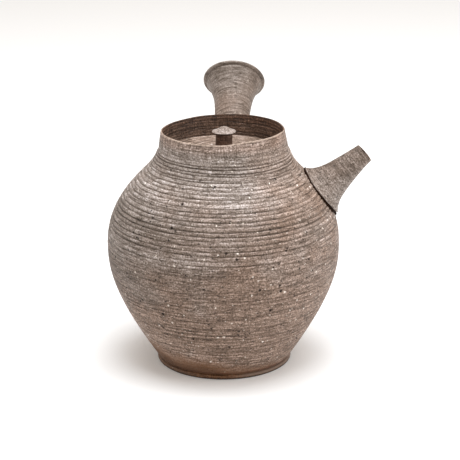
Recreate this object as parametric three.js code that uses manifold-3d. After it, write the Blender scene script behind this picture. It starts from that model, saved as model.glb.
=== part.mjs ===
// Unglazed side-handled teapot: a thrown jar-shaped body on a thin foot slab, a trumpet spout with a
// pierced strainer behind it, a hollow trumpet handle beside it, and a sunken lid with a small knob.
// Millimetres, +Z up. The origin is the middle of the foot's underside, on the axis of the body.
// The spout points along +X, turned back by a degree or two, and the handle points along +Y.
import * as THREE from 'three';
import { mergeVertices } from 'three/addons/utils/BufferGeometryUtils.js';
import Module from 'manifold-3d';

const wasm = await Module();
wasm.setup();

// Foot and body outline
const FOOT_RADIUS = 35.3;
const FOOT_THICKNESS = 2.6;
const FOOT_EDGE_ROUND = 0.8;
const WAIST_RADIUS = 34.3;
const WAIST_HEIGHT = 2.8;
const BODY_BASE_RADIUS = 36.6;
const BELLY_RADIUS = 60;
const BELLY_HEIGHT = 63;
const SHOULDER_RADIUS = 42.8;
const SHOULDER_HEIGHT = 100;
const SHOULDER_SLOPE = 1.02;
const NECK_RADIUS = 33.3;
const NECK_HEIGHT = 113.4;
const RIM_RADIUS = 31.7;
const RIM_HEIGHT = 123;

// How far each handle of the outline's curves reaches, as a share of the curve's own spread or rise
const WALL_PULL_OUT = 0.96;
const WALL_PULL_UP = 0.59;
const BELLY_PULL_DOWN = 0.18;
const BELLY_PULL_UP = 0.17;
const SHOULDER_PULL_DOWN = 0.456;
const SHOULDER_PULL_UP = 0.641;
const NECK_PULL_OUT = 0.194;
const NECK_PULL_DOWN = 0.304;

// Walls
const FLOOR_THICKNESS = 4;
const BODY_WALL = 3;
const RIM_WALL = 1.1;

// Lid seat, a ring of clay luted inside the neck
const SEAT_DEPTH = 12.6;
const SEAT_WIDTH = 4;
const SEAT_THICKNESS = 2.8;
const SEAT_BEVEL = 0.8;

// Lid and knob
const LID_CLEARANCE = 0.4;
const LID_THICKNESS = 2;
const LID_EDGE_BEVEL = 0.5;
const LID_DOME = 0.7;
const FLANGE_DEPTH = 3.6;
const FLANGE_WALL = 2.4;
const FLANGE_CLEARANCE = 0.6;
const FLANGE_BEVEL = 0.5;
const VENT_RADIUS = 1.3;
const VENT_DISTANCE = 15;
const KNOB_OFF_CENTRE = 0.6;
const KNOB_STEM_RADIUS = 4.4;
const KNOB_STEM_WAIST = 4.2;
const KNOB_STEM_HEIGHT = 8.7;
const KNOB_CAP_RADIUS = 6.1;
const KNOB_CAP_EDGE = 0.6;
const KNOB_CAP_RISE = 2.4;

// Spout
const SPOUT_AZIMUTH = 1.8;
const SPOUT_SEAT_HEIGHT = 90;
const SPOUT_SEAT_TILT = 39;
const SPOUT_AXIS_SINK = 1.9;
const SPOUT_LENGTH = 30.6;
const SPOUT_CHORD_TILT = 40.3;
const SPOUT_TIP_TILT = 40.4;
const SPOUT_TIP_RADIUS = 5.2;
const SPOUT_CONE_RADIUS = 10.9;
const SPOUT_BASE_RADIUS = 15.7;
const SPOUT_CONE_POWER = 1.26;
const SPOUT_FLARE_POWER = 8.3;
const SPOUT_TIP_WALL = 1.4;
const SPOUT_BASE_WALL = 2.4;
const POUR_HOLE_RADIUS = 9.5;

// Strainer, a pierced dome luted over the pour hole on the inside
const STRAINER_RADIUS = 12.4;
const STRAINER_RISE = 6;
const STRAINER_WALL = 1.6;
const STRAINER_HOLE_RADIUS = 0.9;
const STRAINER_HOLE_PITCH = 3.3;
const STRAINER_HOLE_RINGS = 2;

// Handle
const HANDLE_AZIMUTH = 86.45;
const HANDLE_SEAT_HEIGHT = 88;
const HANDLE_TILT = 37.5;
const HANDLE_LENGTH = 61.8;
const HANDLE_MOUTH_RADIUS = 17.2;
const HANDLE_GRIP_RADIUS = 9.1;
const HANDLE_BASE_RADIUS = 14.5;
const HANDLE_MOUTH_FLARE = 10.1;
const HANDLE_BASE_FLARE = 5;
const HANDLE_MOUTH_WALL = 1.4;
const HANDLE_BASE_WALL = 2.4;

// Luted joints: a thin bed of slip, and a skirt whose edge stands a little proud of the body
const SLIP_GAP = 0.3;
const SKIRT_LIFT = 0.9;
const SKIRT_EDGE_WIDTH = 1.1;
const SKIRT_OVERRUN = 6;

// How finely the forms are faceted
const BODY_SIDES = 54;
const LID_SIDES = 44;
const TUBE_SIDES = 28;
const KNOB_SIDES = 24;
const HOLE_SIDES = 6;
const BELLY_STEPS = 7;
const NECK_STEPS = 6;
const SPOUT_STEPS = 10;
const SPOUT_STEP_EASE = 1.5;
const HANDLE_STEPS = 11;
const ARC_STEPS = 5;

// Heights and radii that follow from the sizes above
const bodyBase = FOOT_THICKNESS + WAIST_HEIGHT;
const floorHeight = bodyBase + FLOOR_THICKNESS;
const seatTop = RIM_HEIGHT - SEAT_DEPTH;
const seatBottom = seatTop - SEAT_THICKNESS;
const mouthRadius = RIM_RADIUS - RIM_WALL;
const seatOuterRadius = mouthRadius - SLIP_GAP;
const seatInnerRadius = seatOuterRadius - SEAT_WIDTH;
const lidRadius = mouthRadius - LID_CLEARANCE;
const lidTop = seatTop + LID_THICKNESS;
const knobBase = lidTop + LID_DOME;

const clay = {
  foot: 0x6e5645,
  body: 0x8a7a6e,
  inside: 0x5d4a3e,
  spout: 0x8c8078,
  handle: 0x948578,
  lid: 0xa8917d,
};

const radians = THREE.MathUtils.degToRad;

// Solids for cutting and joining
function toSolid(geometry) {
  const bare = geometry.clone();
  bare.deleteAttribute('normal');
  bare.deleteAttribute('uv');
  const merged = mergeVertices(bare, 1e-4);
  return new wasm.Manifold(new wasm.Mesh({
    numProp: 3,
    vertProperties: new Float32Array(merged.attributes.position.array),
    triVerts: new Uint32Array(merged.index.array),
  }));
}

function toGeometry(solid) {
  const mesh = solid.getMesh();
  const geometry = new THREE.BufferGeometry();
  geometry.setAttribute('position', new THREE.BufferAttribute(new Float32Array(mesh.vertProperties), 3));
  geometry.setIndex(new THREE.BufferAttribute(new Uint32Array(mesh.triVerts), 1));
  return geometry;
}

// Turns [radius, height] points about Z. The points run anticlockwise round the clay, as seen with
// the radius to the right, and start and end on the axis or close on themselves.
function turned(outline, sides) {
  const points = outline.map(([radius, height]) => new THREE.Vector2(radius, height));
  return new THREE.LatheGeometry(points, sides).rotateX(Math.PI / 2);
}

function turnedRing(outline, sides) {
  return turned([...outline, outline[0]], sides);
}

function curve(points, steps) {
  const corners = points.map((point) => new THREE.Vector2(...point));
  return new THREE.CubicBezierCurve(...corners).getPoints(steps).map(({ x, y }) => [x, y]);
}

// The outside of the pot, from the corner above its foot to the bottom of its collar
function skinOutline() {
  const spread = BELLY_RADIUS - BODY_BASE_RADIUS;
  const wallRise = BELLY_HEIGHT - bodyBase;
  const shoulderRise = SHOULDER_HEIGHT - BELLY_HEIGHT;
  const neckRise = NECK_HEIGHT - SHOULDER_HEIGHT;
  const belowShoulder = SHOULDER_PULL_DOWN * shoulderRise;
  const aboveShoulder = SHOULDER_PULL_UP * neckRise;
  const wall = curve([
    [BODY_BASE_RADIUS, bodyBase],
    [BODY_BASE_RADIUS + WALL_PULL_OUT * spread, bodyBase + WALL_PULL_UP * wallRise],
    [BELLY_RADIUS, BELLY_HEIGHT - BELLY_PULL_DOWN * wallRise],
    [BELLY_RADIUS, BELLY_HEIGHT],
  ], BELLY_STEPS);
  const shoulder = curve([
    [BELLY_RADIUS, BELLY_HEIGHT],
    [BELLY_RADIUS, BELLY_HEIGHT + BELLY_PULL_UP * shoulderRise],
    [SHOULDER_RADIUS + SHOULDER_SLOPE * belowShoulder, SHOULDER_HEIGHT - belowShoulder],
    [SHOULDER_RADIUS, SHOULDER_HEIGHT],
  ], BELLY_STEPS);
  const neck = curve([
    [SHOULDER_RADIUS, SHOULDER_HEIGHT],
    [SHOULDER_RADIUS - SHOULDER_SLOPE * aboveShoulder, SHOULDER_HEIGHT + aboveShoulder],
    [NECK_RADIUS + NECK_PULL_OUT * neckRise, NECK_HEIGHT - NECK_PULL_DOWN * neckRise],
    [NECK_RADIUS, NECK_HEIGHT],
  ], NECK_STEPS);
  return [...wall, ...shoulder.slice(1), ...neck.slice(1)];
}

const skin = skinOutline();

// Moves an outline along its own normals, outwards for a positive distance
function offset(outline, distance) {
  return outline.map(([radius, height], i) => {
    const before = outline[Math.max(i - 1, 0)];
    const after = outline[Math.min(i + 1, outline.length - 1)];
    const run = [after[0] - before[0], after[1] - before[1]];
    const length = Math.hypot(...run);
    return [radius + (distance * run[1]) / length, height - (distance * run[0]) / length];
  });
}

// Radius of the pot's skin at a height
function skinRadius(height) {
  const above = skin.findIndex((point) => point[1] > height);
  const [low, high] = [skin[above - 1], skin[above]];
  return THREE.MathUtils.mapLinear(height, low[1], high[1], low[0], high[0]);
}

// Everything within a distance of the pot's skin or inside it, to trim what is luted on outside
function potEnvelope(distance) {
  const grown = offset(skin, distance);
  return toSolid(turned([[0, grown[0][1]], ...grown, [0, grown.at(-1)[1]]], BODY_SIDES));
}

// The wall of the tea chamber from its floor to the neck, moved inwards by a distance
function chamberOutline(distance) {
  const top = seatBottom - BODY_WALL;
  const wall = offset(skin, -BODY_WALL - distance)
    .filter(([radius, height]) => height > floorHeight && height < top && radius > mouthRadius);
  const floorRadius = BODY_BASE_RADIUS - BODY_WALL - distance;
  return [[floorRadius, floorHeight + distance], ...wall, [mouthRadius - distance, top]];
}

function footSlab() {
  const round = FOOT_EDGE_ROUND;
  const easing = 0.3 * round;
  return toSolid(turned([
    [0, 0],
    [FOOT_RADIUS - round, 0],
    [FOOT_RADIUS - easing, easing],
    [FOOT_RADIUS, round],
    [FOOT_RADIUS, FOOT_THICKNESS - round],
    [FOOT_RADIUS - easing, FOOT_THICKNESS - easing],
    [FOOT_RADIUS - round, FOOT_THICKNESS],
    [0, FOOT_THICKNESS],
  ], BODY_SIDES));
}

// Waist above the foot, belly, shoulder and collar, a thin round lip, then down the inside
function potBody() {
  const lip = RIM_WALL / 2;
  const lipCentre = [RIM_RADIUS - lip, RIM_HEIGHT - lip];
  const lipRound = [0, 0.25, 0.5, 0.75, 1].map((share) => [
    lipCentre[0] + lip * Math.cos(Math.PI * share),
    lipCentre[1] + lip * Math.sin(Math.PI * share),
  ]);
  const shell = toSolid(turned([
    [0, FOOT_THICKNESS],
    [WAIST_RADIUS, FOOT_THICKNESS],
    [(WAIST_RADIUS + BODY_BASE_RADIUS) / 2, FOOT_THICKNESS + 0.7 * WAIST_HEIGHT],
    ...skin,
    ...lipRound,
    ...chamberOutline(0).reverse(),
    [0, floorHeight],
  ], BODY_SIDES));
  return shell.subtract(pourHole());
}

// Stands a form whose own axis is +Z on the pot's skin, at a height, leaning out at a tilt above level
function onSkin(azimuth, height, tilt) {
  const turn = new THREE.Matrix4().makeRotationZ(radians(azimuth));
  const move = new THREE.Matrix4().makeTranslation(skinRadius(height), 0, height);
  const lean = new THREE.Matrix4().makeRotationY(radians(90 - tilt));
  return turn.multiply(move).multiply(lean);
}

function spoutSeat() {
  return onSkin(SPOUT_AZIMUTH, SPOUT_SEAT_HEIGHT, SPOUT_SEAT_TILT);
}

function handleSeat() {
  return onSkin(HANDLE_AZIMUTH, HANDLE_SEAT_HEIGHT, HANDLE_TILT);
}

function rod(radius, length, sides) {
  return new THREE.CylinderGeometry(radius, radius, length, sides).rotateX(Math.PI / 2);
}

function pourHole() {
  return toSolid(rod(POUR_HOLE_RADIUS, 6 * BODY_WALL, TUBE_SIDES).applyMatrix4(spoutSeat()));
}

// A point in a branch's upright plane, as [out, up], moved along a direction tilted above level
function along(point, tilt, distance) {
  return [
    point[0] + distance * Math.cos(radians(tilt)),
    point[1] + distance * Math.sin(radians(tilt)),
  ];
}

// A tube wall lofted through round sections. Each section has a centre [out, up], the tilt of its
// axis, and an outer and an inner radius. The rings run up the outside and back down the inside.
function loftedWall(sections, azimuth) {
  const rings = [
    ...sections.map((section) => ({ ...section, radius: section.outer })),
    ...sections.toReversed().map((section) => ({ ...section, radius: section.inner })),
  ];
  const positions = [];
  const faces = [];
  rings.forEach(({ centre, tilt, radius }, ring) => {
    const nextRing = ((ring + 1) % rings.length) * TUBE_SIDES;
    for (let side = 0; side < TUBE_SIDES; side += 1) {
      const angle = (2 * Math.PI * side) / TUBE_SIDES;
      const [out, up] = along(centre, tilt + 90, radius * Math.sin(angle));
      positions.push(out, radius * Math.cos(angle), up);
      const here = ring * TUBE_SIDES + side;
      const beside = ring * TUBE_SIDES + ((side + 1) % TUBE_SIDES);
      const opposite = nextRing + ((side + 1) % TUBE_SIDES);
      faces.push(here, beside, opposite, here, opposite, nextRing + side);
    }
  });
  const geometry = new THREE.BufferGeometry();
  geometry.setAttribute('position', new THREE.Float32BufferAttribute(positions, 3));
  geometry.setIndex(faces);
  return toSolid(geometry.rotateZ(radians(azimuth)));
}

// Cuts a branch to the pot: its bed follows the skin, and the edge of its skirt is lifted clear
function seated(branch, seat, baseRadius) {
  const bed = toSolid(rod(baseRadius - SKIRT_EDGE_WIDTH, 6 * baseRadius, TUBE_SIDES).applyMatrix4(seat));
  const undercut = potEnvelope(SKIRT_LIFT).subtract(bed);
  return branch.subtract(potEnvelope(SLIP_GAP)).subtract(undercut);
}

function spout() {
  const start = [skinRadius(SPOUT_SEAT_HEIGHT) - SPOUT_AXIS_SINK, SPOUT_SEAT_HEIGHT];
  const tip = along(start, SPOUT_CHORD_TILT, SPOUT_LENGTH);
  const axis = new THREE.CubicBezierCurve(...[
    start,
    along(start, SPOUT_SEAT_TILT, SPOUT_LENGTH / 3),
    along(tip, SPOUT_TIP_TILT, -SPOUT_LENGTH / 3),
    tip,
  ].map((point) => new THREE.Vector2(...point)));
  const sections = [];
  for (let i = 0; i <= SPOUT_STEPS; i += 1) {
    const share = (i / SPOUT_STEPS) ** SPOUT_STEP_EASE;
    const back = 1 - share;
    const cone = SPOUT_TIP_RADIUS + (SPOUT_CONE_RADIUS - SPOUT_TIP_RADIUS) * back ** SPOUT_CONE_POWER;
    const flare = (SPOUT_BASE_RADIUS - SPOUT_CONE_RADIUS) * back ** SPOUT_FLARE_POWER;
    const wall = THREE.MathUtils.lerp(SPOUT_BASE_WALL, SPOUT_TIP_WALL, share);
    const tilt = THREE.MathUtils.lerp(SPOUT_SEAT_TILT, SPOUT_TIP_TILT, share);
    sections.push({ centre: axis.getPoint(share).toArray(), tilt, outer: cone + flare, inner: cone + flare - wall });
  }
  const root = { ...sections[0], centre: along(start, SPOUT_SEAT_TILT, -SKIRT_OVERRUN) };
  return seated(loftedWall([root, ...sections], SPOUT_AZIMUTH), spoutSeat(), SPOUT_BASE_RADIUS);
}

function handle() {
  const start = [skinRadius(HANDLE_SEAT_HEIGHT), HANDLE_SEAT_HEIGHT];
  const sections = [];
  for (let i = 0; i <= HANDLE_STEPS; i += 1) {
    const share = i / HANDLE_STEPS;
    const fromBase = HANDLE_LENGTH * share;
    const fromMouth = HANDLE_LENGTH - fromBase;
    const mouthFlare = (HANDLE_MOUTH_RADIUS - HANDLE_GRIP_RADIUS) * Math.exp(-fromMouth / HANDLE_MOUTH_FLARE);
    const baseFlare = (HANDLE_BASE_RADIUS - HANDLE_GRIP_RADIUS) * Math.exp(-fromBase / HANDLE_BASE_FLARE);
    const outer = HANDLE_GRIP_RADIUS + mouthFlare + baseFlare;
    const wall = THREE.MathUtils.lerp(HANDLE_BASE_WALL, HANDLE_MOUTH_WALL, share);
    const centre = along(start, HANDLE_TILT, fromBase);
    sections.push({ centre, tilt: HANDLE_TILT, outer, inner: outer - wall });
  }
  const root = { ...sections[0], centre: along(start, HANDLE_TILT, -SKIRT_OVERRUN) };
  return seated(loftedWall([root, ...sections], HANDLE_AZIMUTH), handleSeat(), HANDLE_BASE_RADIUS);
}

// Drills on a triangular grid, all within the same number of rings of the middle one
function strainerDrills(length) {
  const rings = STRAINER_HOLE_RINGS;
  const drills = [];
  for (let row = -rings; row <= rings; row += 1) {
    for (let column = -rings; column <= rings; column += 1) {
      if (Math.abs(row + column) <= rings) {
        const x = STRAINER_HOLE_PITCH * (column + row / 2);
        const y = STRAINER_HOLE_PITCH * row * Math.sin(Math.PI / 3);
        drills.push(toSolid(rod(STRAINER_HOLE_RADIUS, length, HOLE_SIDES).translate(x, y, 0)));
      }
    }
  }
  return drills;
}

// A dome that bulges into the tea chamber, its skirt cut to the curve of the inner wall
function strainer() {
  const ball = (STRAINER_RADIUS ** 2 + STRAINER_RISE ** 2) / (2 * STRAINER_RISE);
  const reach = Math.asin(STRAINER_RADIUS / ball);
  const arc = (radius) => Array.from({ length: ARC_STEPS + 1 }, (_, i) => {
    const angle = (reach * i) / ARC_STEPS;
    return [radius * Math.sin(angle), ball - STRAINER_RISE - radius * Math.cos(angle)];
  });
  const outer = arc(ball);
  const inner = arc(ball - STRAINER_WALL).reverse();
  const skirt = 3 * BODY_WALL;
  let dome = toSolid(turned([...outer, [STRAINER_RADIUS, skirt], [inner[0][0], skirt], ...inner], TUBE_SIDES));
  for (const drill of strainerDrills(3 * ball)) {
    dome = dome.subtract(drill);
  }
  const behindWall = new THREE.Matrix4().makeTranslation(0, 0, -BODY_WALL - SLIP_GAP);
  const placed = toSolid(toGeometry(dome).applyMatrix4(spoutSeat().multiply(behindWall)));
  const chamber = chamberOutline(SLIP_GAP);
  return placed.intersect(toSolid(turned([[0, chamber[0][1]], ...chamber, [0, chamber.at(-1)[1]]], BODY_SIDES)));
}

function lidSeat() {
  return toSolid(turnedRing([
    [seatOuterRadius, seatBottom],
    [seatOuterRadius, seatTop],
    [seatInnerRadius, seatTop],
    [seatInnerRadius, seatBottom + SEAT_BEVEL],
    [seatInnerRadius + SEAT_BEVEL, seatBottom],
  ], LID_SIDES));
}

// Disc with a slight dome, pierced by the steam vent
function lidPlate() {
  const disc = toSolid(turned([
    [0, seatTop],
    [lidRadius - LID_EDGE_BEVEL, seatTop],
    [lidRadius, seatTop + LID_EDGE_BEVEL],
    [lidRadius, lidTop - LID_EDGE_BEVEL],
    [lidRadius - LID_EDGE_BEVEL, lidTop],
    [0.6 * lidRadius, lidTop + 0.6 * LID_DOME],
    [0.3 * lidRadius, lidTop + LID_DOME],
    [0, lidTop + LID_DOME],
  ], LID_SIDES));
  const drill = rod(VENT_RADIUS, 8 * LID_THICKNESS, 2 * HOLE_SIDES).translate(0, -VENT_DISTANCE, lidTop);
  return disc.subtract(toSolid(drill));
}

// Ring under the lid that keeps it on its seat while the pot pours
function lidFlange() {
  const outer = seatInnerRadius - FLANGE_CLEARANCE;
  const inner = outer - FLANGE_WALL;
  const bottom = seatTop - FLANGE_DEPTH;
  return toSolid(turnedRing([
    [inner, seatTop],
    [inner, bottom + FLANGE_BEVEL],
    [inner + FLANGE_BEVEL, bottom],
    [outer - FLANGE_BEVEL, bottom],
    [outer, bottom + FLANGE_BEVEL],
    [outer, seatTop],
  ], LID_SIDES));
}

function knobStem() {
  return toSolid(turned([
    [0, knobBase],
    [KNOB_STEM_RADIUS, knobBase],
    [KNOB_STEM_WAIST, knobBase + 0.3 * KNOB_STEM_HEIGHT],
    [KNOB_STEM_WAIST, knobBase + 0.8 * KNOB_STEM_HEIGHT],
    [KNOB_STEM_RADIUS, knobBase + KNOB_STEM_HEIGHT],
    [0, knobBase + KNOB_STEM_HEIGHT],
  ], KNOB_SIDES).translate(KNOB_OFF_CENTRE, 0, 0));
}

// A flat cone with a thin edge and a slightly hollow slope
function knobCap() {
  const base = knobBase + KNOB_STEM_HEIGHT;
  const edgeTop = base + KNOB_CAP_EDGE;
  return toSolid(turned([
    [0, base],
    [KNOB_CAP_RADIUS - KNOB_CAP_EDGE / 2, base],
    [KNOB_CAP_RADIUS, base + KNOB_CAP_EDGE / 2],
    [KNOB_CAP_RADIUS - KNOB_CAP_EDGE / 4, edgeTop],
    [0.62 * KNOB_CAP_RADIUS, edgeTop + 0.4 * KNOB_CAP_RISE],
    [0.3 * KNOB_CAP_RADIUS, edgeTop + 0.8 * KNOB_CAP_RISE],
    [0.1 * KNOB_CAP_RADIUS, edgeTop + KNOB_CAP_RISE],
    [0, edgeTop + KNOB_CAP_RISE],
  ], KNOB_SIDES).translate(KNOB_OFF_CENTRE, 0, 0));
}

const teapot = new THREE.Group();

function addPiece(name, solid, colour) {
  const material = new THREE.MeshStandardMaterial({ color: colour, roughness: 0.92, metalness: 0 });
  const mesh = new THREE.Mesh(toGeometry(solid), material);
  mesh.name = name;
  teapot.add(mesh);
}

addPiece('foot_slab', footSlab(), clay.foot);
addPiece('pot_body', potBody(), clay.body);
addPiece('lid_seat', lidSeat(), clay.inside);
addPiece('strainer', strainer(), clay.inside);
addPiece('spout', spout(), clay.spout);
addPiece('handle', handle(), clay.handle);
addPiece('lid_plate', lidPlate(), clay.lid);
addPiece('lid_flange', lidFlange(), clay.lid);
addPiece('knob_stem', knobStem(), clay.lid);
addPiece('knob_cap', knobCap(), clay.lid);

export default teapot;
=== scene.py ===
"""Throws, lutes and dresses an unglazed stoneware teapot with a side handle.

Metres, +Z up, with the origin in the middle of the foot's underside. Sizes are written in
millimetres and turned into metres by MM. Every round form is thrown the same way: an outline is drawn
point by point, spun about the vertical axis, and then marked, bent or cut where it needs it.
"""
import math

import bpy
import numpy as np
from bpy.props import FloatProperty, FloatVectorProperty, IntProperty, PointerProperty
from bpy.types import Operator, Panel, PropertyGroup
from mathutils import Matrix, Vector, noise
from mathutils.geometry import interpolate_bezier


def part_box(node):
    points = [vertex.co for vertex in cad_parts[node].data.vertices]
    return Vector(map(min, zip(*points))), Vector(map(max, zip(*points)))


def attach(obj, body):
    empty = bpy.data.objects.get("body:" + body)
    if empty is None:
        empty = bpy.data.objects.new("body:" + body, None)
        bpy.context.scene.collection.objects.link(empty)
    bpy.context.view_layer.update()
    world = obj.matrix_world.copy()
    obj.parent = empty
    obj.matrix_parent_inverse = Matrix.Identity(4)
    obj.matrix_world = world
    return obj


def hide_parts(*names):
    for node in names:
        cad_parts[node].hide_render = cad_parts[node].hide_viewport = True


bl_info = {
    "name": "Unglazed side-handled teapot",
    "version": (1, 0, 0),
    "blender": (4, 5, 0),
    "location": "3D View > Sidebar > Teapot",
    "description": "Throws and dresses an unglazed stoneware teapot with a side handle",
    "category": "Add Mesh",
}

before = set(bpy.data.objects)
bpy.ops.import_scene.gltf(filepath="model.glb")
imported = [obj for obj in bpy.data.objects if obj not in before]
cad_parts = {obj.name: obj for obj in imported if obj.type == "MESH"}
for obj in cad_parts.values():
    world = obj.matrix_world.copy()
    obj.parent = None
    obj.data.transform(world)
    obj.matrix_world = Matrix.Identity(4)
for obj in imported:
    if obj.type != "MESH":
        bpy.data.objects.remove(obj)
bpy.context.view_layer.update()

MM = 0.001
FOOT_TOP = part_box("foot_slab")[1].z / MM
FOOT_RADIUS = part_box("foot_slab")[1].x / MM
RIM_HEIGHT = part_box("pot_body")[1].z / MM
SEAT_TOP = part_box("lid_seat")[1].z / MM
SEAT_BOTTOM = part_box("lid_seat")[0].z / MM
LID_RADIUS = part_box("lid_plate")[1].y / MM
LID_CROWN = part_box("lid_plate")[1].z / MM
KNOB_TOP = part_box("knob_cap")[1].z / MM
KNOB_CAP_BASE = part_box("knob_cap")[0].z / MM

# Heights in millimetres above which the wall is thrown in finer steps, and its rings come closer together
FINE_WALL = 74
NECK_RINGS = 104

# Height in millimetres, and the share of their full depth that the throwing rings have there
RING_DEPTHS = (
    (5, 0.0), (12, 0.15), (17, 0.6), (24, 0.75), (40, 0.7), (54, 0.55), (64, 0.6), (72, 0.9),
    (78, 1.0), (91, 1.0), (98, 0.9), (113, 1.0), (116, 0.45), (118, 0.1), (120, 0.0),
)

# Azimuth and half width in degrees, and rise in millimetres, of the soft waves of the lip
LIP_WAVES = ((52, 50, 0.7), (-42, 36, 1.55), (146, 26, -0.5))

# Lid and seat, in millimetres
SEAT_WIDTH = 4
LID_THICKNESS = 2
FLANGE_WALL = 2.4
VENT_RADIUS = 1.3
VENT_PLACE = -15

# Azimuth, seat height, how far the axis starts inside, length, and the tilts of chord, start and end
SPOUT_AXIS = (1.8, 90, 1.9, 30.6, 40.3, 39, 40.4)
HANDLE_AXIS = (86.45, 88, 0, 61.8, 37.5, 37.5, 37.5)

# Turns that bring the axis of each branch onto Z for its clay
SPOUT_LEAN = (0, math.radians(-49.6), 0)
HANDLE_LEAN = (math.radians(52.5), 0, 0)

# Widest gap in the seams of the branches, in millimetres
SEAM_GAP = 0.7

# Shift, cells per metre, size in a cell and share of the cells of coarse grog, fine grog, pits and wide pits
GRAINS = ((0, 300, 0.15, 0.5), (0.31, 560, 0.16, 0.6), (0.57, 280, 0.15, 0.85), (0.83, 190, 0.14, 0.35))


def sized(name, description, millimetres):
    return FloatProperty(name=name, description=description, default=millimetres * MM, unit="LENGTH")


def fired(name, description, default):
    return FloatVectorProperty(name=name, description=description, default=default, subtype="COLOR", size=3)


class TeapotSizes(PropertyGroup):
    """Sizes of the pot, in metres, that a maker would change."""

    belly_radius: sized("Belly radius", "Radius of the widest part of the body", 60)
    belly_height: sized("Belly height", "Height of the widest part of the body", 63)
    rim_radius: sized("Rim radius", "Outer radius of the collar at its lip", 31.7)
    body_wall: sized("Body wall", "Thickness of the thrown wall", 3)
    ring_pitch: sized("Ring pitch", "Distance between throwing rings along the wall", 2.35)
    ring_depth: sized("Ring depth", "Depth of the throwing rings on the shoulder", 0.6)
    wheel_steps: IntProperty(
        name="Wheel steps", description="Steps of one turn of the wheel for the body", default=240, min=24
    )


class ClayColours(PropertyGroup):
    """Fired colours of the clay."""

    grey: fired("Grey clay", "Ash-grey body clay", (0.262, 0.214, 0.184))
    warm: fired("Warm clay", "Browner clay low on the wall", (0.200, 0.133, 0.096))
    toast: fired("Toasted clay", "Brown flash near the foot", (0.185, 0.086, 0.038))
    # Painted shade: the inside tint darkens the clay inside the collar, on the inner surfaces of spout and
    # handle, and on the lid seat and strainer
    inside: fired("Inside tint", "Tint of the clay inside the collar", (0.66, 0.52, 0.43))
    # Painted shadow: the slip colour is near-black so that the slip beads stand in for the shadow in the
    # seams' gaps
    slip: fired("Slip", "Dark slip in the luted seams", (0.022, 0.011, 0.006))
    lid: fired("Lid clay", "Light beige of the lid", (0.264, 0.187, 0.142))
    knob: fired("Knob clay", "Greyer beige of the knob", (0.295, 0.235, 0.203))
    # The stem tint is partly brown clay and partly painted shade under the knob's cap
    stem: fired("Stem tint", "Brown tint of the knob's stem", (0.36, 0.25, 0.19))
    lip: fired("Lip", "Pale worn clay on the lip", (0.50, 0.385, 0.305))
    grog: fired("Grog", "White feldspar grains", (0.72, 0.63, 0.55))
    pit: fired("Pit", "Iron specks and small pits", (0.018, 0.010, 0.006))


class StudioSettings(PropertyGroup):
    """Camera and light of the studio."""

    lens: FloatProperty(name="Lens", description="Focal length in millimetres", default=128.1)
    sky: FloatProperty(name="Sky", description="Strength of the even light", default=0.7)
    side: FloatProperty(name="Side", description="Power of the soft light at the right in watts", default=4.5)
    key: FloatProperty(name="Key", description="Power of the soft light overhead in watts", default=12)


# Plain steps in the viewport


def deselect_all():
    if bpy.context.object and bpy.context.object.mode != "OBJECT":
        bpy.ops.object.mode_set(mode="OBJECT")
    bpy.ops.object.select_all(action="DESELECT")


def choose(piece):
    deselect_all()
    piece.select_set(True)
    bpy.context.view_layer.objects.active = piece


def apply_modifier(piece, modifier):
    choose(piece)
    bpy.ops.object.modifier_apply(modifier=modifier.name)


def place(piece, matrix):
    """Moves a piece and puts its place into its mesh."""
    piece.matrix_world = matrix
    choose(piece)
    bpy.ops.object.transform_apply(location=True, rotation=True, scale=True)


def smooth(piece):
    choose(piece)
    bpy.ops.object.shade_smooth_by_angle(angle=math.radians(55))


def cut(piece, cutter, operation="DIFFERENCE"):
    """A boolean cut that uses up the cutter."""
    modifier = piece.modifiers.new("cut", "BOOLEAN")
    modifier.operation = operation
    modifier.solver = "EXACT"
    modifier.object = cutter
    apply_modifier(piece, modifier)
    bpy.data.meshes.remove(cutter.data)


# Throwing: outlines are lists of (radius, height) in millimetres


def thrown(name, outline, steps):
    """Draws an outline as a chain of edges and spins it once about the vertical axis."""
    deselect_all()
    bpy.ops.mesh.primitive_plane_add(size=MM, location=(0, 0, 0))
    piece = bpy.context.object
    piece.name = name
    piece.data.name = name
    bpy.ops.object.mode_set(mode="EDIT")
    bpy.ops.mesh.select_all(action="SELECT")
    bpy.ops.mesh.merge(type="CENTER")
    bpy.ops.transform.translate(value=(outline[0][0] * MM, 0, outline[0][1] * MM))
    for here, there in zip(outline, outline[1:]):
        step = ((there[0] - here[0]) * MM, 0, (there[1] - here[1]) * MM)
        bpy.ops.mesh.extrude_vertices_move(TRANSFORM_OT_translate={"value": step})
    bpy.ops.mesh.select_all(action="SELECT")
    bpy.ops.mesh.spin(steps=steps, angle=math.tau, center=(0, 0, 0), axis=(0, 0, 1))
    bpy.ops.mesh.select_all(action="SELECT")
    bpy.ops.mesh.remove_doubles(threshold=0.002 * MM)
    bpy.ops.mesh.normals_make_consistent(inside=False)
    bpy.ops.object.mode_set(mode="OBJECT")
    smooth(piece)
    return piece


def evenly(points, step):
    """The same line with points about a step apart, its own ends kept."""
    points = np.array(points, float)
    lengths = np.hypot(*np.diff(points, axis=0).T)
    along = np.concatenate([[0], np.cumsum(lengths)])
    spots = np.linspace(0, along[-1], max(2, round(along[-1] / step) + 1))
    return [tuple(float(np.interp(spot, along, axis)) for axis in points.T) for spot in spots]


def moved_out(points, distance):
    """The same line moved along its own normals, away from the axis on a rising line."""
    points = np.array(points, float)
    run = np.gradient(points, axis=0)
    run /= np.hypot(run[:, 0], run[:, 1])[:, None]
    return [(float(x + distance * dz), float(z - distance * dx)) for (x, z), (dx, dz) in zip(points, run)]


def curve(start, pull_start, pull_end, end, steps=24):
    corners = [Vector((*corner, 0)) for corner in (start, pull_start, pull_end, end)]
    return [(p.x, p.y) for p in interpolate_bezier(*corners, steps)]


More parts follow.
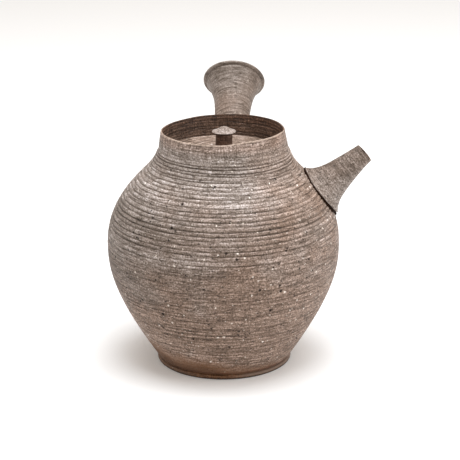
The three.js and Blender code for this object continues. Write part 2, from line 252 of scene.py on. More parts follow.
def arc(centre, radius, start, end, steps):
    turns = [math.radians(start + (end - start) * i / steps) for i in range(steps + 1)]
    return [(centre[0] + radius * math.cos(turn), centre[1] + radius * math.sin(turn)) for turn in turns]


def skin_line():
    """Outside of the body from the corner above its foot to the bottom of its collar."""
    sizes = bpy.context.scene.teapot_sizes
    base = (36.6, FOOT_TOP + 2.8)
    belly = (sizes.belly_radius / MM, sizes.belly_height / MM)
    shoulder = (42.8, 100.0)
    neck = (33.3, 113.4)
    slope = 1.02
    spread = belly[0] - base[0]
    rise = belly[1] - base[1]
    pull_out = (base[0] + 0.96 * spread, base[1] + 0.59 * rise)
    wall = curve(base, pull_out, (belly[0], belly[1] - 0.18 * rise), belly)
    rise = shoulder[1] - belly[1]
    under = 0.456 * rise
    over = 0.641 * (neck[1] - shoulder[1])
    below = (shoulder[0] + slope * under, shoulder[1] - under)
    above = (shoulder[0] - slope * over, shoulder[1] + over)
    upper = curve(belly, (belly[0], belly[1] + 0.17 * rise), below, shoulder)
    collar = curve(shoulder, above, (neck[0] + 2.6, neck[1] - 4.07), neck)
    return wall + upper[1:] + collar[1:]


def skin_radius(heights):
    """Radius of the body's outside at heights, the collar included, all in millimetres."""
    line = [*skin_line(), (bpy.context.scene.teapot_sizes.rim_radius / MM, RIM_HEIGHT)]
    return np.interp(heights, [z for _, z in line], [r for r, _ in line])


def body_form(name, grown):
    """The body's outside as a full solid, grown by a distance in millimetres."""
    line = moved_out(evenly(skin_line(), 1.5), grown)
    return thrown(name, [(0, line[0][1]), *line, (0, line[-1][1])], 144)


# Marks: points are moved in code where a tool or a finger would have moved the clay


def points_and_normals(piece):
    count = len(piece.data.vertices)
    points = np.empty(count * 3)
    normals = np.empty(count * 3)
    piece.data.vertices.foreach_get("co", points)
    piece.data.vertices.foreach_get("normal", normals)
    return points.reshape(-1, 3), normals.reshape(-1, 3)


def set_points(piece, points):
    piece.data.vertices.foreach_set("co", points.ravel())
    piece.data.update()


def cloud(points, scale, seed):
    """Smooth noise from -1 to 1 at each point, with a feature size in metres."""
    shift = Vector((seed * 7.31, seed * 3.17, seed * 5.73))
    return np.array([noise.noise(Vector(point) / scale + shift) for point in points])


def write_mask(piece, name, values):
    attribute = piece.data.attributes.new(name, "FLOAT", "POINT")
    attribute.data.foreach_set("value", values.astype(np.float32))


def ring_marks(distance, pitch, width, seed, stray=0.13):
    """Depth from 0 to 1 of narrow grooves about a pitch apart along a wall, and of the ridge under each."""
    chance = np.random.default_rng(seed)
    count = int(distance.max() / pitch) + 4
    spots = pitch * (np.arange(count) - 1 + chance.uniform(-stray, stray, count))
    strength = chance.uniform(0.72, 1.0, count)
    index = np.clip(np.searchsorted(spots, distance), 1, count - 1)
    before = distance - spots[index - 1]
    after = spots[index] - distance
    nearest = np.where(before < after, index - 1, index)
    above = np.where(before < after, before, -after)
    groove = np.exp(-((above / width) ** 2)) * strength[nearest]
    ridge = np.exp(-(((above + 1.5 * width) / (0.7 * width)) ** 2)) * strength[nearest]
    return groove, ridge


def uneven(piece, slow, slow_size, fine, fine_size, seed, above=-1):
    """Leaves a piece a little out of true, by slow and fine depths in millimetres."""
    points, normals = points_and_normals(piece)
    sway = slow * cloud(points, slow_size * MM, seed) + fine * cloud(points, fine_size * MM, seed + 1)
    sway *= points[:, 2] > above * MM
    set_points(piece, points + normals * sway[:, None] * MM)


# Clay: shader node groups shared by all materials


def add_node(kind, inputs=None, tree=None, **settings):
    """Adds a node to the tree that its first linked input is in, or to a given tree."""
    inputs = inputs or {}
    linked = {key: value for key, value in inputs.items() if isinstance(value, bpy.types.NodeSocket)}
    tree = tree or next(iter(linked.values())).id_data
    node = tree.nodes.new(kind)
    for key, value in settings.items():
        setattr(node, key, value)
    for key, value in inputs.items():
        if key in linked:
            tree.links.new(value, node.inputs[key])
        else:
            node.inputs[key].default_value = value
    return node


def new_group(name, inputs, outputs):
    """An empty node group. Its inputs and outputs are labels by their kind of socket."""
    tree = bpy.data.node_groups.new(name, "ShaderNodeTree")
    for sockets, way in ((inputs, "INPUT"), (outputs, "OUTPUT")):
        for kind, labels in sockets.items():
            for label in labels:
                tree.interface.new_socket(label, in_out=way, socket_type="NodeSocket" + kind)
    return tree, tree.nodes.new("NodeGroupInput").outputs, tree.nodes.new("NodeGroupOutput").inputs


def calculate(operation, first, second=0):
    return add_node("ShaderNodeMath", {0: first, 1: second}, operation=operation).outputs[0]


def product(first, *others):
    for other in others:
        first = calculate("MULTIPLY", first, other)
    return first


def total(first, *others):
    for other in others:
        first = calculate("ADD", first, other)
    return first


def between(value, low, high, to_low=0, to_high=1):
    inputs = {"Value": value, "From Min": low, "From Max": high, "To Min": to_low, "To Max": to_high}
    return add_node("ShaderNodeMapRange", inputs).outputs["Result"]


def mixed(factor, first, second, blend="MIX"):
    inputs = {0: factor, 6: first, 7: second}
    return add_node("ShaderNodeMix", data_type="RGBA", blend_type=blend, inputs=inputs).outputs[2]


def shaded(colour, light):
    """A colour made lighter and greyer, or darker and browner, by a value."""
    green = calculate("POWER", light, 1.11)
    blue = calculate("POWER", light, 1.25)
    shade = add_node("ShaderNodeCombineColor", {0: light, 1: green, 2: blue}).outputs[0]
    return mixed(1, colour, shade, blend="MULTIPLY")


def grain_noise(vector, scale, detail=3, roughness=0.6):
    inputs = {"Vector": vector, "Scale": scale, "Detail": detail, "Roughness": roughness}
    return add_node("ShaderNodeTexNoise", inputs).outputs


def combined(operation, first, second):
    """One vector from two."""
    return add_node("ShaderNodeVectorMath", {0: first, 1: second}, operation=operation).outputs[0]


def stretched(vector, across, along):
    """A vector scaled by different amounts across and along its Z."""
    return combined("MULTIPLY", vector, (across, across, along))


def grains_group():
    """Scattered grains: a mask that is 1 inside a share of the cells of a cell pattern."""
    tree, given, result = new_group(
        "Grains", {"Vector": ["Vector"], "Float": ["Cells", "Size", "Share"]}, {"Float": ["Mask"]}
    )
    cells = add_node("ShaderNodeTexVoronoi", {"Vector": given["Vector"], "Scale": given["Cells"]})
    channels = add_node("ShaderNodeSeparateColor", {0: cells.outputs["Color"]}).outputs
    chosen = calculate("LESS_THAN", channels[0], given["Share"])
    size = product(given["Size"], between(channels[1], 0, 1, 0.5, 1.5))
    inside = between(cells.outputs["Distance"], product(size, 0.5), size, 1, 0)
    tree.links.new(product(inside, chosen), result["Mask"])
    return tree


def stoneware_group():
    """Grogged clay: patches of two colours, mottling, dashes round the wheel, white grains and pits."""
    tree, given, result = new_group(
        "Stoneware",
        {
            "Vector": ["Vector", "Wheel"],
            "Color": ["Clay", "Warm clay", "Grog", "Pit"],
            "Float": ["Warmth", "Contrast", "Grog amount", "Pit amount"],
        },
        {"Color": ["Colour"], "Float": ["Roughness", "Height", "Dashes"]},
    )
    vector = given["Vector"]
    wheel = given["Wheel"]
    patches = grain_noise(vector, 24)[0]
    warm = total(between(patches, 0.36, 0.64, -0.45, 0.45), given["Warmth"])
    colour = mixed(warm, given["Clay"], given["Warm clay"])
    mottle = grain_noise(vector, 330, 4, 0.7)[0]
    grain, scatter = grain_noise(vector, 1300, 2)
    dashes = grain_noise(stretched(wheel, 230, 1700), 1, 2)[0]
    for layer, depth in ((mottle, 0.21), (grain, 0.68), (dashes, 0.42)):
        swing = product(between(layer, 0.3, 0.7, -depth, depth), given["Contrast"])
        colour = shaded(colour, total(swing, 1))
    level = grain_noise(stretched(wheel, 45, 420), 1, 1)[0]
    level = calculate("ABSOLUTE", calculate("SUBTRACT", level, 0.5))
    broken = between(dashes, 0.35, 0.6)
    cuts = product(between(level, 0.01, 0.05, 1, 0), broken)
    colour = shaded(colour, between(cuts, 0, 1, 1, 0.38))
    ragged = combined("ADD", vector, stretched(scatter, 1.2 * MM, 1.2 * MM))
    masks = []
    for shift, cells, size, share in GRAINS:
        moved = combined("ADD", ragged, (shift,) * 3)
        inputs = {"Vector": moved, "Cells": cells, "Size": size, "Share": share}
        masks.append(add_node("ShaderNodeGroup", inputs, node_tree=shared_group("Grains")).outputs[0])
    coarse_grog, fine_grog, pits, wide_pits = masks
    white = calculate("MAXIMUM", coarse_grog, product(fine_grog, 0.55))
    white = product(white, given["Grog amount"])
    dark = product(calculate("MAXIMUM", pits, wide_pits), given["Pit amount"])
    colour = mixed(white, colour, given["Grog"])
    colour = mixed(dark, colour, given["Pit"])
    height = product(mottle, 0.6)
    for value, amount in ((grain, 0.55), (dashes, 0.55), (cuts, -0.7), (white, 0.3), (dark, -0.9)):
        height = total(height, product(value, amount))
    matt = calculate("MAXIMUM", between(mottle, 0.3, 0.7, 0.5, 0.7), dark)
    for label, value in (("Colour", colour), ("Roughness", matt), ("Height", height), ("Dashes", dashes)):
        tree.links.new(value, result[label])
    return tree


def streaks_group():
    """Long fine scratches round the wheel's axis, which is the vector's Z."""
    tree, given, result = new_group("Wheel streaks", {"Vector": ["Wheel"]}, {"Float": ["Value"]})
    lines = grain_noise(stretched(given["Wheel"], 12, 1000), 1, 3, 0.65)
    tree.links.new(between(lines[0], 0.3, 0.7), result["Value"])
    return tree


def shared_group(name):
    """A node group by its name, built when it is first asked for."""
    builders = {"Grains": grains_group, "Stoneware": stoneware_group, "Wheel streaks": streaks_group}
    return bpy.data.node_groups.get(name) or builders[name]()


class FiredClay:
    """A clay material in the making, whose layers change its colour and height.

    The axis turns the wheel's direction onto Z, for pieces that don't stand upright.
    """

    def __init__(self, name, clay, warmth=0.5, grog=1, pits=1, contrast=1, axis=(0, 0, 0)):
        colours = bpy.context.scene.teapot_clay
        self.material = bpy.data.materials.new(name)
        self.material.use_nodes = True
        self.tree = self.material.node_tree
        self.place = add_node("ShaderNodeTexCoord", tree=self.tree).outputs["Object"]
        self.wheel = add_node("ShaderNodeMapping", {"Vector": self.place, "Rotation": axis}).outputs[0]
        self.up = add_node("ShaderNodeSeparateXYZ", {0: self.place}).outputs
        self.colour, self.roughness, self.height, self.dashes = self.group(
            "Stoneware",
            {
                "Vector": self.place,
                "Wheel": self.wheel,
                "Clay": (*clay, 1),
                "Warm clay": (*colours.warm, 1),
                "Warmth": warmth if isinstance(warmth, float) else self.warmer(*warmth),
                "Contrast": self.amount(contrast),
                "Grog": (*colours.grog, 1),
                "Grog amount": self.amount(grog),
                "Pit": (*colours.pit, 1),
                "Pit amount": self.amount(pits),
            },
        )

    def group(self, name, inputs):
        return add_node("ShaderNodeGroup", inputs, self.tree, node_tree=shared_group(name)).outputs

    def amount(self, value):
        """A plain number as it is, and the four numbers of a zone as that zone."""
        return self.zone(*value) if isinstance(value, tuple) else value

    def warmer(self, top, foot):
        """A warmth from 0 at one height to 1 at another, higher at the right and lower on the belly."""
        band = product(self.zone(62, 70), self.zone(97, 88), self.across(30, -5, 0, -0.5))
        return total(self.zone(top, foot), self.across(-55, 55, -0.05, 0.55), band)

    def mask(self, name):
        kind = "ShaderNodeAttribute"
        return add_node(kind, tree=self.tree, attribute_name=name, attribute_type="GEOMETRY").outputs["Fac"]

    def zone(self, low, high, to_low=0, to_high=1):
        """A value that changes with height between two heights in millimetres."""
        return between(self.up[2], low * MM, high * MM, to_low, to_high)

    def across(self, low, high, to_low=0, to_high=1):
        """A value that changes from left to right between two places in millimetres."""
        return between(self.up[0], low * MM, high * MM, to_low, to_high)

    def through(self, low, high, to_low=0, to_high=1):
        """A value that changes from front to back between two places in millimetres."""
        return between(self.up[1], low * MM, high * MM, to_low, to_high)

    def shade(self, light):
        self.colour = shaded(self.colour, light)

    def shade_where(self, mask, light, elsewhere=1):
        """Shades by one amount where a mask is 1 and by another where it is 0."""
        self.shade(between(mask, 0, 1, elsewhere, light))

    def tint(self, factor, colour, blend="MIX"):
        self.colour = mixed(factor, self.colour, (*colour, 1), blend)

    def add_height(self, value, amount):
        self.height = total(self.height, product(value, amount))

    def streaks(self, amount):
        value = self.group("Wheel streaks", {"Wheel": self.wheel})["Value"]
        self.shade_where(value, 1 + 0.7 * amount, 1 - amount)
        self.add_height(value, amount)

    def rings(self, darkness, land=1.08, ridge=0):
        """Paints shade into the valleys of the throwing rings in broken dashes, lightens the lands, and
        paints a highlight on the ridge under each groove.
        """
        broken = between(self.dashes, 0.35, 0.65, 0.75, 1.1)
        valley = product(between(self.mask("rings"), 0.12, 0.92), broken)
        self.shade_where(valley, land * (1 - darkness), land)
        if ridge:
            self.shade_where(self.mask("ridges"), 1 + ridge)

    def finish(self, bump=0.4, specular=0.38):
        """Wires the layers to the shader."""
        shader = self.tree.nodes["Principled BSDF"]
        self.tree.links.new(self.colour, shader.inputs["Base Color"])
        self.tree.links.new(self.roughness, shader.inputs["Roughness"])
        relief = add_node("ShaderNodeBump", {"Height": self.height, "Strength": bump, "Distance": 0.7 * MM})
        self.tree.links.new(relief.outputs[0], shader.inputs["Normal"])
        shader.inputs["Specular IOR Level"].default_value = specular
        return self.material


def body_clay():
    colours = bpy.context.scene.teapot_clay
    clay = FiredClay(
        "body_clay",
        colours.grey,
        warmth=(104, 36),
        contrast=(66, 84, 1.1, 0.95),
        grog=(110, 115, 1, 0.6),
        pits=(108, 114, 1, 0.3),
    )
    clay.streaks(0.3)
    # Painted shade in the ring valleys and a painted highlight on the ridge under each
    clay.rings(0.78, 1.09, 0.3)

    # Collar: upright scratches, a dark smudge and a browner top
    scratches = grain_noise(stretched(clay.place, 1000, 110), 1)[0]
    collar = clay.zone(114.5, 117)
    scratched = product(between(scratches, 0.3, 0.7, -1, 1), collar, clay.across(8, 24, 0.42, 0.16))
    clay.shade(total(scratched, 1))
    clay.add_height(product(scratches, collar), 0.7)
    brushed = grain_noise(stretched(clay.place, 150, 40), 1)[0]
    brushed = between(brushed, 0.4, 0.62)
    clay.shade_where(product(collar, clay.zone(121.5, 119), brushed, clay.across(8, 22, 1, 0.2)), 0.6)
    clay.tint(clay.zone(117, 120.5), (1, 0.9, 0.84), "MULTIPLY")

    # Wall: a painted sheen on the shoulder's front, painted light and shade on the two sides, lighter low on
    # the wall, and two darker bands
    drift = grain_noise(clay.place, 30, 2)[0]
    # Painted sheen: a pale patch on the front of the shoulder, where the light's broad reflection falls
    painted_sheen = product(clay.zone(87, 96), clay.zone(108, 102), clay.through(10, -35))
    clay.shade_where(product(painted_sheen, between(drift, 0.3, 0.6, 0.5, 1)), 1.3)
    # Painted light and shade: the left flank lighter near the bottom and darker on the belly, the right flank
    # lighter
    left = product(clay.zone(22, 44, 1.3, 0.8), clay.zone(56, 70, 1, 1.07), clay.zone(84, 100, 1, 1.18))
    clay.shade(clay.across(-5, -50, 1, left))
    right = product(clay.zone(50, 75, 1.12, 1.2), clay.zone(84, 96, 1, 0.93))
    clay.shade(clay.across(5, 50, 1, right))
    clay.shade(clay.zone(14, 30, 1.13, 1))
    clay.shade(calculate("MAXIMUM", clay.zone(56, 48, 0.89, 0.98), clay.zone(61, 69, 0.89, 1.04)))
    clay.shade(calculate("MAXIMUM", clay.zone(80, 72, 0.91, 1), clay.zone(86, 95, 0.91, 1)))

    # Foot: a fine line of painted shade in the crease above the foot, and a toasted flash with a drifting
    # edge
    clay.shade(clay.zone(FOOT_TOP + 0.2, FOOT_TOP + 1.4, 0.3, 1))
    edge = between(drift, 0.3, 0.7, -4 * MM, 4 * MM)
    edge = total(clay.up[2], edge, clay.across(-35, 35, -6 * MM, 4 * MM))
    flash = between(edge, 3 * MM, 12 * MM, 0.95, 0)
    flash = product(flash, between(scratches, 0.3, 0.7, 1.1, 0.8))
    clay.tint(flash, colours.toast)
    clay.shade(total(product(flash, between(edge, 1 * MM, 9 * MM, -0.35, 0.3)), 1))

    # Lip: worn pale in front, painted shade on the lip behind; painted shade inside the collar
    lip = clay.mask("lip")
    worn = product(clay.through(5, -15, 0, 0.6), between(scratches, 0.35, 0.6, 0.6, 1.3))
    clay.shade_where(product(lip, clay.through(0, 15)), 0.55)
    clay.tint(product(between(lip, 0.5, 1), worn), colours.lip)
    clay.tint(clay.mask("inside"), colours.inside, "MULTIPLY")
    return clay.finish(0.66)


def branch_clay(name, axis, rings=0, warmth=0.1, light=1, contrast=1, pits=0.7, fibres=0, right=1):
    """Clay of the spout or the handle: greyer and more even than the body."""
    colours = bpy.context.scene.teapot_clay
    clay = FiredClay(name, colours.grey, warmth=warmth, grog=0.5, pits=pits, contrast=contrast, axis=axis)
    clay.streaks(0.16)
    # Painted shade in the ring valleys, and on the handle under its lip
    if rings:
        clay.rings(rings)
    drawn = grain_noise(stretched(clay.wheel, 900, 130), 1)[0]
    clay.shade(between(drawn, 0.3, 0.7, 1 - fibres, 1 + fibres))
    clay.shade(clay.zone(96, 107, light, 0.88 * light))
    clay.shade(clay.zone(118, 128, 1, 0.9))
    # Painted shade: darker at the right by the factor right, and on the inner surface by the inside tint
    clay.shade(clay.across(6, 18, 1, right))
    clay.tint(clay.mask("inside"), colours.inside, "MULTIPLY")
    return clay.finish(0.45)


def plain_clay(name, colour, grog=0.5, streaks=0.2, contrast=1, paler=0, edge=None, specular=0.38):
    """One colour of clay with painted light at both sides, more at the right, mixed in as a share of the
    lighter warm clay, and painted shade below edge, in millimetres.
    """
    colours = bpy.context.scene.teapot_clay
    clay = FiredClay(name, colour, warmth=-0.4, grog=grog, pits=0.8, contrast=contrast)
    clay.streaks(streaks)
    # Painted light: paler at the sides, more at the right
    left = clay.across(-8, -22, 0, 0.4 * paler)
    right = clay.across(2, 15, 0, paler)
    clay.tint(calculate("MAXIMUM", left, right), colours.warm)
    # Painted shade below the edge
    if edge:
        clay.shade(clay.zone(edge - 0.5, edge + 0.3, 0.15, 1))
    return clay.finish(specular=specular)


def lid_clay(name, turned=False, stem_top=None):
    """Beige clay of the lid, with turning lines. Below stem_top, in millimetres, it is darker and browner:
    partly brown clay, partly painted shade under the knob's cap.
    """
    colours = bpy.context.scene.teapot_clay
    colour = colours.knob if stem_top else colours.lid
    clay = FiredClay(name, colour, warmth=-0.3, grog=0.7, pits=0.7, contrast=0.85)
    if turned:
        # Painted shade in the ring valleys and a painted highlight on the ridge under each
        clay.rings(1, 1.25, 0.5)
        flat = combined("MULTIPLY", clay.place, (1, 1, 0))
        radius = add_node("ShaderNodeVectorMath", {0: flat}, operation="LENGTH").outputs["Value"]
        lathe = add_node("ShaderNodeCombineXYZ", {0: clay.up[0], 1: clay.up[1], 2: radius}).outputs[0]
        lines = grain_noise(stretched(lathe, 40, 340), 1)[0]
        clay.shade(between(lines, 0.3, 0.7, 0.42, 1.54))
        # Painted light: the lid lighter towards its right
        clay.shade(clay.across(4, 24, 1, 1.08))
    if stem_top:
        clay.tint(clay.zone(stem_top - 0.1, stem_top + 0.1, 1, 0), colours.stem, "MULTIPLY")
        # Painted shadow just under the cap, then a paler line along the cap's lower edge
        under_cap = clay.zone(stem_top - 1.6, stem_top, 1, 0.4)
        clay.shade(total(under_cap, clay.zone(stem_top, stem_top + 0.2, 0, 0.75)))
        clay.shade(clay.zone(stem_top + 0.4, stem_top + 0.9, 1, 0.87))
    return clay.finish(0.35)


def finish_piece(piece, body, slot, material, *nodes):
    piece.data.materials.clear()
    piece.data.materials.append(material)
    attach(piece, body)
    if nodes:
        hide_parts(*nodes)


# Branches: trumpets thrown upright, bent along a line and cut to the body


def branch_points(azimuth, height, sink, length, chord, start_tilt, end_tilt):
    """Four Bezier corners of a branch's axis, in metres, from inside the wall to its mouth."""

    def along(point, tilt, distance):
        tilt = math.radians(tilt)
        return (point[0] + distance * math.cos(tilt), point[1] + distance * math.sin(tilt))

    start = (float(skin_radius(height)) - sink, height)
    tip = along(start, chord, length)
    corners = [start, along(start, start_tilt, length / 3), along(tip, end_tilt, -length / 3), tip]
    turn = Matrix.Rotation(math.radians(azimuth), 3, "Z")
    return [turn @ Vector((out, 0, up)) * MM for out, up in corners]


def bend_along(piece, corners):
    """Bends an upright piece along a Bezier curve, so that its foot lies at the curve's start."""
    deselect_all()
    bpy.ops.curve.primitive_bezier_curve_add(location=(0, 0, 0))
    guide = bpy.context.object
    guide.data.resolution_u = 64
    first, last = guide.data.splines[0].bezier_points
    for point in (first, last):
        point.handle_left_type = "FREE"
        point.handle_right_type = "FREE"
    first.co, first.handle_right, first.handle_left = corners[0], corners[1], 2 * corners[0] - corners[1]
    last.co, last.handle_left, last.handle_right = corners[3], corners[2], 2 * corners[3] - corners[2]
    modifier = piece.modifiers.new("bend", "CURVE")
    modifier.object = guide
    modifier.deform_axis = "POS_Z"
    apply_modifier(piece, modifier)
    bpy.data.curves.remove(guide.data)


def trumpet_outline(outer_at, wall_at, length, lip, step, trim=0.4):
    """A closed wall from 7 mm below the root, up the outside, over the lip and down the inside."""
    heights = np.arange(-7, length - trim, step)
    outside = [(outer_at(max(h, 0)), h) for h in heights]
    inside = [(outer_at(max(h, 0)) - wall_at(max(h, 0)), h) for h in reversed(heights)]
    return [*outside, *lip, *inside, outside[0]]


def mark_inside(piece, outer_at):
    """Writes the mask of an upright trumpet's inner surface, from a little below its lip."""
    points, _ = points_and_normals(piece)
    height = points[:, 2] / MM
    shell = np.array([outer_at(max(h, 0)) for h in height])
    inside = (np.hypot(points[:, 0], points[:, 1]) / MM < shell - 0.75).astype(float)
    write_mask(piece, "inside", inside)
    return inside


def seat_branch(piece, corners, widening):
    """Bends a branch and cuts it to the body. The gap widens downwards, and the skirt's edge is torn."""
    bend_along(piece, corners)
    cutter = body_form("seat", SEAM_GAP)
    hinge = corners[0] + Vector((0, 0, 14 * MM))
    sideways = (corners[3] - corners[0]).cross(Vector((0, 0, 1))).normalized()
    swing = Matrix.Rotation(math.radians(widening), 4, sideways)
    place(cutter, Matrix.Translation(hinge) @ swing @ Matrix.Translation(-hinge))
    cut(piece, cutter)
    points, _ = points_and_normals(piece)
    radius = np.hypot(points[:, 0], points[:, 1])
    clear = radius / MM - skin_radius(points[:, 2] / MM)
    near = np.clip(1.6 - clear / (SEAM_GAP + 0.6), 0, 1)
    ragged = 0.16 * cloud(points, 2.4 * MM, 71) + 0.1 * cloud(points, 0.9 * MM, 72)
    outwards = points * np.array([1, 1, 0]) / radius[:, None] + np.array([0, 0, 0.7])
    set_points(piece, points + outwards * (near * ragged)[:, None] * MM)


def slip_shadow_bead(name, corners, radius, burrs):
    """Squeezed slip in a seam, coloured near-black as the painted shadow in the seam's gap: a short tube that
    is kept only where it lies between pot and branch.

    The burrs are (angle from sideways in degrees, height in millimetres) pairs, where slip stands out.
    """
    inner = radius - 2.4
    low = -7
    high = 6
    bead = thrown(name, [(inner, low), (radius, low), (radius, high), (inner, high), (inner, low)], 240)
    axis = (corners[1] - corners[0]).normalized()
    side = axis.cross(Vector((0, 0, 1))).normalized()
    rise = side.cross(axis)
    upright = Matrix((side, rise, axis)).transposed().to_4x4()
    points, _ = points_and_normals(bead)
    turn = np.degrees(np.arctan2(points[:, 1], points[:, 0]))
    grow = 0.25 * cloud(points * np.array([1, 1, 0]), 4 * MM, 61)
    for angle, height in burrs:
        grow = grow + height * np.exp(-(((turn - angle + 180) % 360 - 180) / 1.6) ** 2)
    share = 1 + grow * MM / np.hypot(points[:, 0], points[:, 1])
    set_points(bead, points * np.stack([share, share, np.ones(len(share))], axis=1))
    place(bead, Matrix.Translation(corners[0]) @ upright)
    cut(bead, body_form("bead_outside", 0.9), "INTERSECT")
    cut(bead, body_form("bead_inside", -0.5))
    # Painted shadow: the bead's near-black slip colour stands in for the shade in the seam's gap
    colour = bpy.context.scene.teapot_clay.slip
    slip = bpy.data.materials.get("slip") or plain_clay("slip", colour, grog=0, contrast=0.3, specular=0.02)
    finish_piece(bead, "pot", "inner_clay", slip)


class TEAPOT_OT_throw_body(Operator):
    """Throws the body: waist, belly, shoulder and collar with a thin lip, and marks its rings"""

    bl_idname = "teapot.throw_body"
    bl_label = "Throw body"

    def execute(self, context):
        sizes = context.scene.teapot_sizes
        skin = skin_line()
        base = skin[0]
        waist = [(34.6, FOOT_TOP), (34.9, FOOT_TOP + 0.3), (35.8, FOOT_TOP + 1.2), base]
        split = sum(height < FINE_WALL for _, height in skin)
        neck = sum(height < NECK_RINGS for _, height in skin)
        wall = sizes.body_wall / MM
        lip = 0.5
        rim = (sizes.rim_radius / MM - lip, RIM_HEIGHT - lip)
        mouth = rim[0] - lip
        ceiling = SEAT_BOTTOM - wall
        chamber = [p for p in moved_out(evenly(skin, 3), -wall) if p[0] > mouth and 10 < p[1] < ceiling - 1]
        outline = [
            *evenly([(0, FOOT_TOP), waist[0]], 9)[:-1],
            *evenly(waist, 0.4)[:-1],
            *evenly(skin[:split], 0.55)[:-1],
            *evenly(skin[split - 1 : neck], 0.37)[:-1],
            *evenly(skin[neck - 1 :], 0.28),
            *evenly([skin[-1], (rim[0] + lip, rim[1])], 0.6)[1:-1],
            *arc(rim, lip, 0, 180, 6),
            *evenly([(mouth, rim[1]), (mouth, ceiling)], 0.6)[1:],
            *reversed(chamber),
            *evenly([(base[0] - wall, base[1] + 4), (0, base[1] + 4)], 9),
        ]
        piece = thrown("thrown_body", outline, sizes.wheel_steps)
        self.mark_rings(piece, sizes)
        finish_piece(piece, "pot", "body_clay", body_clay(), "pot_body")
        return {"FINISHED"}

    def mark_rings(self, piece, sizes):
        """Presses the throwing rings into the wall, sways it a little and waves the lip."""
        points, normals = points_and_normals(piece)
        radius = np.hypot(points[:, 0], points[:, 1]) / MM
        height = points[:, 2] / MM
        outside = (radius > skin_radius(height) - 0.6) & (height > FOOT_TOP + 0.1)
        line = np.array([*skin_line(), (sizes.rim_radius / MM, RIM_HEIGHT)])
        run = np.concatenate([[0], np.cumsum(np.hypot(*np.diff(line, axis=0).T))])
        drift = cloud(points, 45 * MM, 1)
        nick = cloud(points * np.array([1, 1, 2]), 9 * MM, 3)
        distance = np.interp(height, line[:, 1], run) + 0.7 * drift + 0.15 * nick
        distance += 0.4 * np.clip(distance - np.interp(NECK_RINGS, line[:, 1], run), 0, None)
        mark, ridge = ring_marks(distance, sizes.ring_pitch / MM, 0.4, 5)
        zone = np.interp(height, *zip(*RING_DEPTHS))
        fade = cloud(points * np.array([1, 1, 3]), 30 * MM, 2)
        broken = np.clip(0.75 + 0.9 * fade + 0.5 * nick, 0.1, 1.25)
        evenness = np.interp(zone, [0, 0.6, 1], [0, 0, 0.75])
        strength = zone * (evenness + (1 - evenness) * broken) * outside
        strength *= np.interp(points[:, 0] / MM, [28, 52], [1, 0.7])
        inside = ~outside & (height > 12) & (radius > 20)
        soft = ring_marks(distance, 2.2, 0.7, 8)[0] * inside
        depth = sizes.ring_depth * (mark - 0.25 * ridge) * strength + 0.3 * MM * soft
        lean = 0.3 * MM * cloud(points, 60 * MM, 6) * (height > 6)
        moved = points - normals * (depth - lean * outside)[:, None]
        moved[:, 0] += 0.4 * MM * np.exp(-(((height - 112) / 6) ** 2)) * outside
        turn = np.degrees(np.arctan2(points[:, 1], points[:, 0]))
        raised = 0.4 * cloud(points, 22 * MM, 7)
        for middle, spread, rise in LIP_WAVES:
            raised += rise * np.exp(-(((turn - middle) / spread) ** 4))
        moved[:, 2] += np.clip((height - 116) / 7, 0, 1) * raised * MM
        set_points(piece, moved)
        write_mask(piece, "rings", np.clip(mark * strength + soft, 0, 1))
        write_mask(piece, "ridges", np.clip(ridge * strength, 0, 1))
        write_mask(piece, "inside", (~outside & (height > FOOT_TOP + 1)).astype(float))
        write_mask(piece, "lip", np.clip((height - RIM_HEIGHT + 1.1) / 0.9, 0, 1))


class TEAPOT_OT_turn_foot(Operator):
    """Turns the foot slab, with a rounded edge and a flat underside"""

    bl_idname = "teapot.turn_foot"
    bl_label = "Turn foot"

    def execute(self, context):
        edge = 0.6
        flat = FOOT_RADIUS - edge
        outline = [
            *evenly([(0, 0), (flat, 0)], 3),
            *arc((flat, edge), edge, -90, 0, 5)[1:],
            *arc((flat, FOOT_TOP - edge - 0.5), edge, 0, 60, 5),
            *evenly([(FOOT_RADIUS - 1.2, FOOT_TOP - 0.1), (0, FOOT_TOP)], 6),
        ]
        piece = thrown("turned_foot", outline, 200)
        uneven(piece, 0.12, 9, 0.03, 1.5, 11, above=0.4)
        clay = plain_clay("foot_clay", context.scene.teapot_clay.toast, streaks=0.3, paler=1.0, edge=1.0)
        finish_piece(piece, "pot", "foot_clay", clay, "foot_slab")
        return {"FINISHED"}


class TEAPOT_OT_lute_spout(Operator):
    """Throws the spout, bends it, cuts its skirt to the shoulder and beds it on slip coloured near-black as
    the seam's painted shadow
    """

    bl_idname = "teapot.lute_spout"
    bl_label = "Lute spout"

    def execute(self, context):
        corners = branch_points(*SPOUT_AXIS)
        length = SPOUT_AXIS[3]

        def outer_at(h):
            back = max(1 - h / length, 0)
            return 5.2 + 5.7 * back**1.26 + 4.8 * back**8.3

        def wall_at(h):
            return 2.4 - 1.4 * h / length

        edge = 0.28
        tip = outer_at(length)
        lip = [
            *arc((tip - edge, length - edge), edge, 0, 90, 4),
            *arc((tip - wall_at(length) + edge, length - edge), edge, 90, 180, 4),
        ]
        piece = thrown("spout_trumpet", trumpet_outline(outer_at, wall_at, length, lip, 0.6), 160)
        mark_inside(piece, outer_at)
        seat_branch(piece, corners, 2.2)
        uneven(piece, 0.2, 11, 0.06, 1.5, 21)
        clay = branch_clay("spout_clay", SPOUT_LEAN, light=0.86, fibres=0.08)
        finish_piece(piece, "pot", "spout_clay", clay, "spout")
        slip_shadow_bead("spout_slip_shadow", corners, 14, ((-90, 2.2), (-84, 1.4)))
        return {"FINISHED"}


